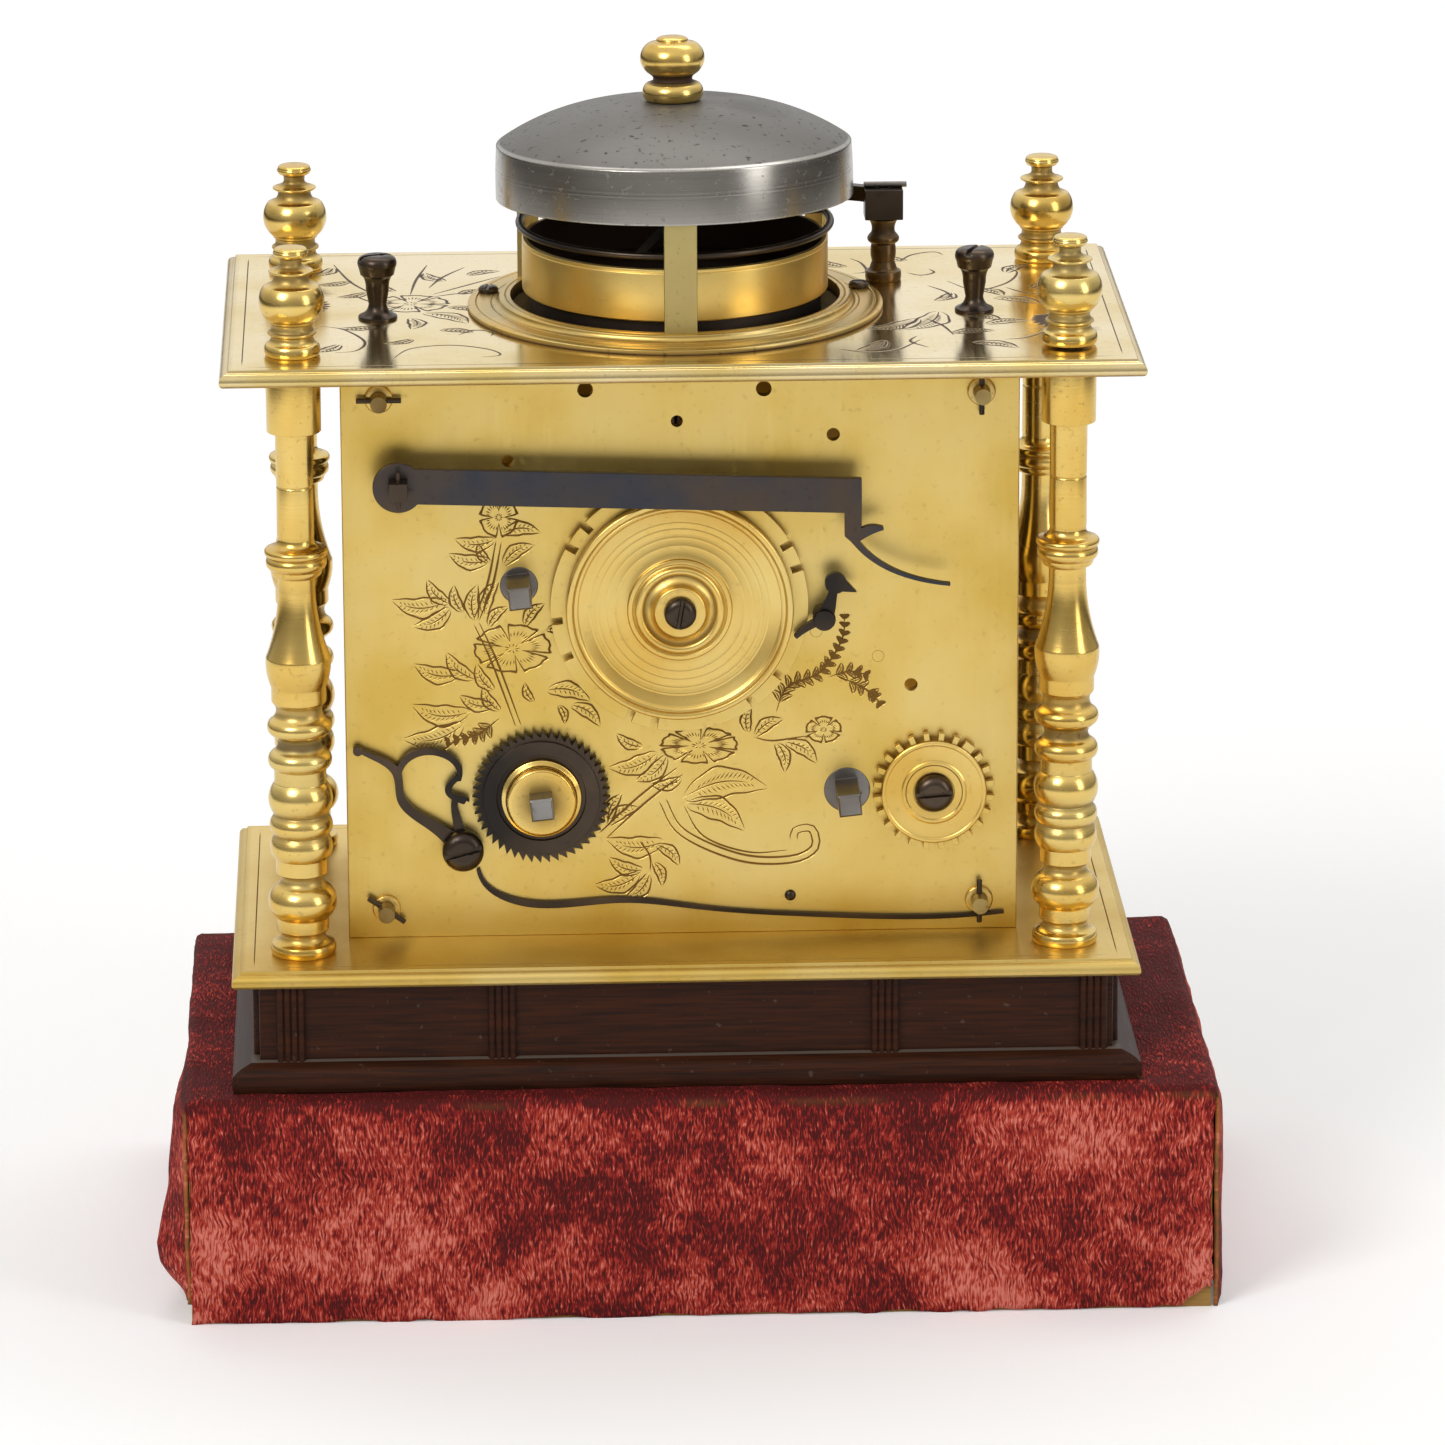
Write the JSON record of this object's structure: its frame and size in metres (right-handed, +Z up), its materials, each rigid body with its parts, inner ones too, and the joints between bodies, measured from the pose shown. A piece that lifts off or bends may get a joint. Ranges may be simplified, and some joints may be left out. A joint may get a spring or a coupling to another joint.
{
  "type": "table clock",
  "caption": "Spring-driven brass table clock with turned pillars, a balance under a domed bell, an engraved backplate with striking work, and a velvet-covered stand",
  "frame": {"origin": "on the surface the stand rests on, under the clock's own vertical centre line", "axes": "+Z up, -Y towards the viewer of the movement's backplate, +X to that viewer's right"},
  "size_m": [0.178, 0.093, 0.2068],
  "materials": {
    "board": "raw board",
    "velvet": "crushed velvet",
    "stained_wood": "lacquered",
    "polished_brass": "polished",
    "satin_brass": "satin",
    "bell_metal": "dull bell metal",
    "bronze": "aged",
    "steel": "filed",
    "blued_steel": "blued",
    "dark_iron": "dark",
    "gut": "twisted gut"
  },
  "bodies": {
    "root": {"stand_core": "board", "velvet_cover": "velvet", "wood_base": "stained_wood", "wood_moulding": "stained_wood", "wood_pilasters": "stained_wood", "base_plate": "polished_brass", "top_plate": "polished_brass", "corner_pillars": "polished_brass", "pillar_finials": "polished_brass", "movement_backplate": "satin_brass", "movement_frontplate": "satin_brass", "movement_pillars": "polished_brass", "pillar_washers": "satin_brass", "taper_pins": "steel", "drum_ring": "polished_brass", "ring_screws": "dark_iron", "drum": "polished_brass", "drum_seat": "dark_iron", "bell_bridge": "satin_brass", "bell": "bell_metal", "bell_knob": "polished_brass", "verge_potence": "satin_brass", "hairspring": "blued_steel", "hairspring_stud": "dark_iron", "hammer_post": "bronze", "tall_screws": "bronze", "count_stud": "steel", "plate_studs": "steel", "dome_screws": "steel", "click_spring": "steel", "gut_line": "gut", "dial_plate": "polished_brass", "chapter_ring": "bronze"},
    "balance": {"balance_wheel": "dark_iron", "verge": "steel"},
    "hammer": {"hammer_arbor": "steel", "hammer_arm": "dark_iron", "hammer_pin": "steel"},
    "count": {"count_wheel": "polished_brass", "count_wheel_cap": "polished_brass"},
    "lever": {"locking_lever": "blued_steel"},
    "detent": {"bird_detent": "steel"},
    "set_up": {"set_up_ratchet": "steel", "ratchet_collar": "polished_brass", "set_up_arbor": "steel"},
    "click": {"ratchet_click": "steel"},
    "stop": {"stop_wheel": "satin_brass"},
    "fusee": {"fusee": "satin_brass", "fusee_arbor": "steel"},
    "going_barrel": {"going_barrel": "satin_brass"},
    "second": {"second_wheel": "satin_brass"},
    "third": {"third_wheel": "satin_brass"},
    "crown": {"crown_wheel": "satin_brass"},
    "dial": {"dial_wheel": "satin_brass", "hour_hand": "blued_steel"},
    "strike_barrel": {"strike_barrel": "satin_brass"},
    "strike_arbor": {"strike_arbor": "steel"},
    "pin_wheel": {"pin_wheel": "satin_brass"},
    "hoop": {"hoop_wheel": "satin_brass"},
    "fly": {"fly": "satin_brass"}
  },
  "joints": [
    {"name": "balance_swing", "type": "hinge", "parent": "root", "child": "balance", "pos_m": [0, 0, 0.1758], "axis": [0, 0, 1], "range_deg": [-60, 60], "stiffness_Nm_per_rad": 0.00002},
    {"name": "hammer_swing", "type": "hinge", "parent": "root", "child": "hammer", "pos_m": [0.0356, 0.0167, 0.1714], "axis": [0, 0, -1], "range_deg": [-3, 20], "stiffness_Nm_per_rad": 0.0005},
    {"name": "lever_lift", "type": "hinge", "parent": "root", "child": "lever", "pos_m": [-0.04645, 0, 0.1385], "axis": [0, -1, 0], "range_deg": [0, 8]},
    {"name": "detent_turn", "type": "hinge", "parent": "root", "child": "detent", "pos_m": [0.0234, 0, 0.1145], "axis": [0, -1, 0], "range_deg": [0, 12]},
    {"name": "click_turn", "type": "hinge", "parent": "root", "child": "click", "pos_m": [-0.0366, 0, 0.07495], "axis": [0, -1, 0], "range_deg": [0, 8], "stiffness_Nm_per_rad": 0.002, "springref_deg": -5.73},
    {"name": "set_up_turn", "type": "hinge", "parent": "root", "child": "set_up", "pos_m": [-0.0235, 0, 0.08395], "axis": [0, -1, 0], "continuous": true},
    {"name": "stop_turn", "type": "hinge", "parent": "root", "child": "stop", "pos_m": [0.04175, 0, 0.08385], "axis": [0, -1, 0], "continuous": true},
    {"name": "fusee_turn", "type": "hinge", "parent": "root", "child": "fusee", "pos_m": [-0.0268, 0, 0.1199], "axis": [0, -1, 0], "continuous": true},
    {"name": "going_barrel_turn", "type": "hinge", "parent": "root", "child": "going_barrel", "pos_m": [-0.0235, 0, 0.08395], "axis": [0, -1, 0], "continuous": true},
    {"name": "second_turn", "type": "hinge", "parent": "root", "child": "second", "pos_m": [-0.01275, 0, 0.12974], "axis": [0, -1, 0], "continuous": true},
    {"name": "third_turn", "type": "hinge", "parent": "root", "child": "third", "pos_m": [0.00084, 0, 0.13213], "axis": [0, -1, 0], "continuous": true},
    {"name": "crown_turn", "type": "hinge", "parent": "root", "child": "crown", "pos_m": [0, 0, 0.14475], "axis": [0, -1, 0], "continuous": true},
    {"name": "dial_turn", "type": "hinge", "parent": "root", "child": "dial", "pos_m": [0, 0, 0.1199], "axis": [0, -1, 0], "continuous": true},
    {"name": "strike_barrel_turn", "type": "hinge", "parent": "root", "child": "strike_barrel", "pos_m": [0.0274, 0, 0.08385], "axis": [0, -1, 0], "continuous": true},
    {"name": "strike_arbor_turn", "type": "hinge", "parent": "root", "child": "strike_arbor", "pos_m": [0.0274, 0, 0.08385], "axis": [0, -1, 0], "continuous": true},
    {"name": "pin_wheel_turn", "type": "hinge", "parent": "root", "child": "pin_wheel", "pos_m": [0.01184, 0, 0.10213], "axis": [0, -1, 0], "continuous": true},
    {"name": "hoop_turn", "type": "hinge", "parent": "root", "child": "hoop", "pos_m": [0.02229, 0, 0.11133], "axis": [0, -1, 0], "continuous": true},
    {"name": "fly_turn", "type": "hinge", "parent": "root", "child": "fly", "pos_m": [0.03252, 0, 0.1069], "axis": [0, -1, 0], "continuous": true},
    {"name": "count_turn", "type": "hinge", "parent": "root", "child": "count", "pos_m": [-0.0004, 0, 0.11645], "axis": [0, -1, 0], "continuous": true}
  ],
  "couplings": [
    {"joint": "going_barrel_turn", "follows": "fusee_turn", "ratio": 0.6161},
    {"joint": "second_turn", "follows": "fusee_turn", "ratio": -4},
    {"joint": "third_turn", "follows": "fusee_turn", "ratio": 16},
    {"joint": "crown_turn", "follows": "fusee_turn", "ratio": -64},
    {"joint": "dial_turn", "follows": "fusee_turn", "ratio": -0.2},
    {"joint": "pin_wheel_turn", "follows": "strike_barrel_turn", "ratio": -4},
    {"joint": "hoop_turn", "follows": "strike_barrel_turn", "ratio": 16},
    {"joint": "fly_turn", "follows": "strike_barrel_turn", "ratio": -64},
    {"joint": "count_turn", "follows": "strike_barrel_turn", "ratio": 0.5}
  ]
}
